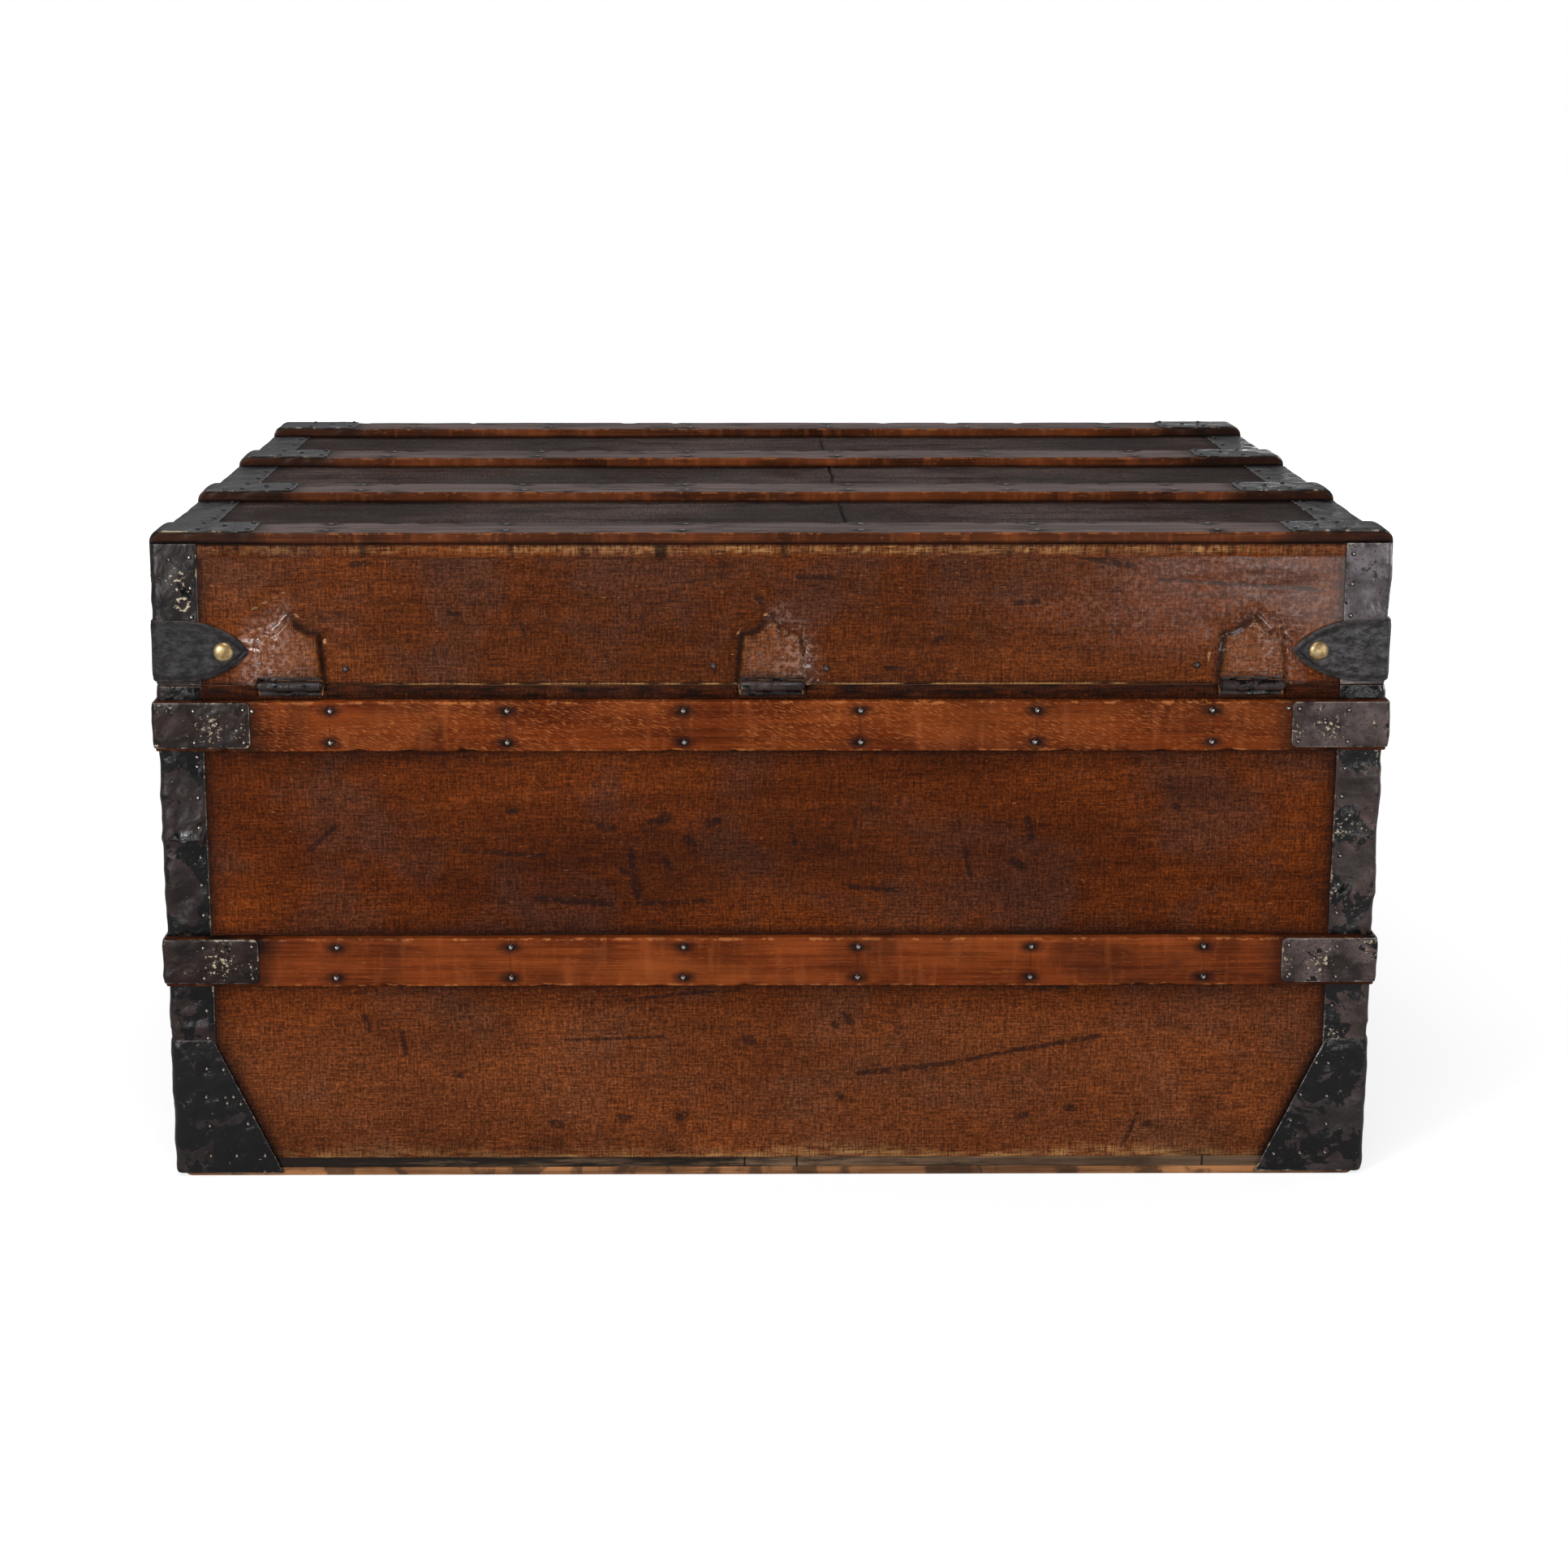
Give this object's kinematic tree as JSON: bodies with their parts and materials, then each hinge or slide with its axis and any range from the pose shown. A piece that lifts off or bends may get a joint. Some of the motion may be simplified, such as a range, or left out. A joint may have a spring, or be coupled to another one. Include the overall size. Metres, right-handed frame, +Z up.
{
  "type": "travelling trunk",
  "caption": "Flat-topped slatted travelling trunk: canvas-covered boards with iron edging and clamps, leather lid guards, a hinged lid, a hasp lock and drop handles.",
  "frame": {"origin": "on the floor, midway between the ends and midway between the back and front boards", "axes": "+X along the trunk's length, +Y from the hinge side to the lock side, +Z up"},
  "size_m": [0.952, 0.5675, 0.5052],
  "materials": {
    "board": "bare planed softwood",
    "slat": "varnished, worn hardwood",
    "canvas": "glued and varnished canvas",
    "iron": "black japan over sheet iron, worn",
    "brass": "aged brass",
    "leather": "blackened stiff leather",
    "grip": "stitched brown leather"
  },
  "bodies": {
    "case": {"case_back_board": "board", "case_front_board": "board", "case_left_board": "board", "case_right_board": "board", "bottom_board": "board", "case_canvas": "canvas", "lock_body": "brass", "bottom_runner_rear": "slat", "bottom_runner_middle": "slat", "bottom_runner_front": "slat", "back_slat_upper": "slat", "back_slat_lower": "slat", "front_slat_upper": "slat", "front_slat_lower": "slat", "back_left_clamp_upper": "iron", "back_left_clamp_lower": "iron", "back_right_clamp_upper": "iron", "back_right_clamp_lower": "iron", "front_left_clamp_upper": "iron", "front_left_clamp_lower": "iron", "front_right_clamp_upper": "iron", "front_right_clamp_lower": "iron", "case_edge_iron_back_left": "iron", "case_edge_iron_back_right": "iron", "case_edge_iron_front_left": "iron", "case_edge_iron_front_right": "iron", "corner_iron_back_left": "iron", "corner_iron_back_right": "iron", "corner_iron_front_left": "iron", "corner_iron_front_right": "iron", "hinge_case_leaf_left": "iron", "hinge_case_leaf_middle": "iron", "hinge_case_leaf_right": "iron", "hinge_pin_left": "iron", "hinge_pin_middle": "iron", "hinge_pin_right": "iron", "handle_plate_left": "iron", "handle_plate_right": "iron"},
    "lid": {"lid_frame": "board", "lid_top_board": "board", "lid_canvas": "canvas", "hasp_plate": "brass", "lid_slat_1": "slat", "lid_slat_2": "slat", "lid_slat_3": "slat", "lid_slat_4": "slat", "lid_end_iron_left": "iron", "lid_end_iron_right": "iron", "lid_edge_iron_back_left": "iron", "lid_edge_iron_back_right": "iron", "lid_edge_iron_front_left": "iron", "lid_edge_iron_front_right": "iron", "leather_guard_left": "leather", "leather_guard_right": "leather", "hinge_lid_leaf_left": "iron", "hinge_lid_leaf_middle": "iron", "hinge_lid_leaf_right": "iron"},
    "hasp": {"hasp": "brass"},
    "handle_left": {"handle_left": "grip"},
    "handle_right": {"handle_right": "grip"}
  },
  "joints": [
    {"name": "lid_hinge", "type": "hinge", "parent": "case", "child": "lid", "pos_m": [0, -0.2733, 0.389], "axis": [1, 0, 0], "range_deg": [0, 100]},
    {"name": "hasp_swing", "type": "hinge", "parent": "lid", "child": "hasp", "pos_m": [0, 0.2735, 0.4024], "axis": [1, 0, 0], "range_deg": [0, 100]},
    {"name": "handle_left_swing", "type": "hinge", "parent": "case", "child": "handle_left", "pos_m": [-0.4675, 0, 0.268], "axis": [0, 1, 0], "range_deg": [0, 170]},
    {"name": "handle_right_swing", "type": "hinge", "parent": "case", "child": "handle_right", "pos_m": [0.4675, 0, 0.268], "axis": [0, -1, 0], "range_deg": [0, 170]}
  ]
}
